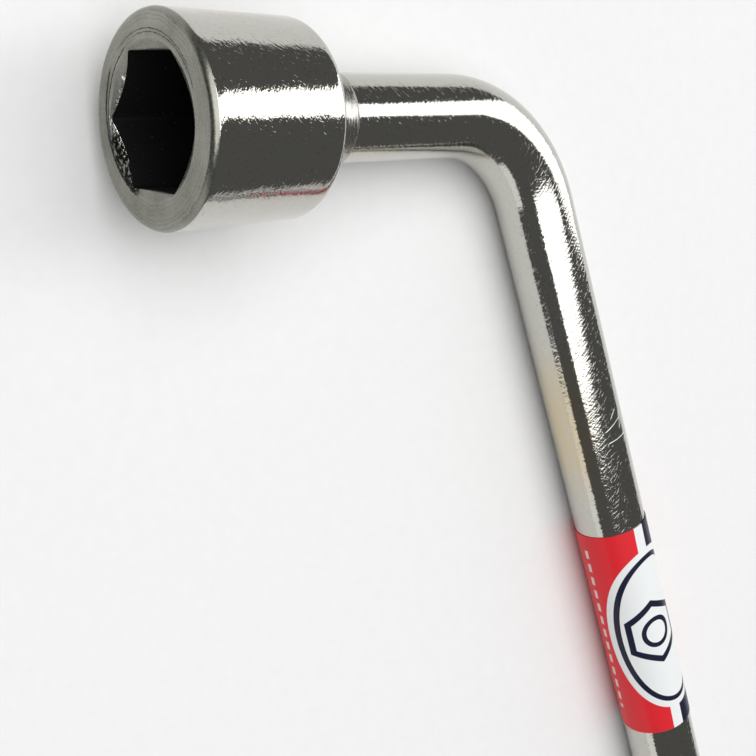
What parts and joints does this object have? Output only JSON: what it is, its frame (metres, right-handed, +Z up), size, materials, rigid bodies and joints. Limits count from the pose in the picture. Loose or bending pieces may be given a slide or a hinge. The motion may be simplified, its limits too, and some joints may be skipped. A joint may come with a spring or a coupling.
{
  "type": "lug wrench",
  "caption": "L-shaped chromed steel wheel wrench: hexagon socket on a bent round bar, flat pry tip at the far end, printed label round the handle.",
  "frame": {"origin": "middle of the bounding box, on the surface the wrench lies on", "axes": "+Z up; +X along the handle from the socket end to the pry tip, the handle itself lying about 15 degrees from it; +Y from the socket's mouth towards the bend"},
  "size_m": [0.3026, 0.1558, 0.0333],
  "materials": {
    "socket_chrome": "bright chrome with fine turning and polishing lines, bare and dark inside the bore",
    "bar_chrome": "bright chrome over drawn bar, with short marks across it and a little orange peel",
    "weld_chrome": "satin chrome over a dressed weld bead",
    "label_film": "glossy printed film, red with a white and a navy stripe"
  },
  "bodies": {
    "root": {"socket_head": "socket_chrome", "handle_bar": "bar_chrome", "weld_bead": "weld_chrome", "label": "label_film"}
  },
  "joints": []
}
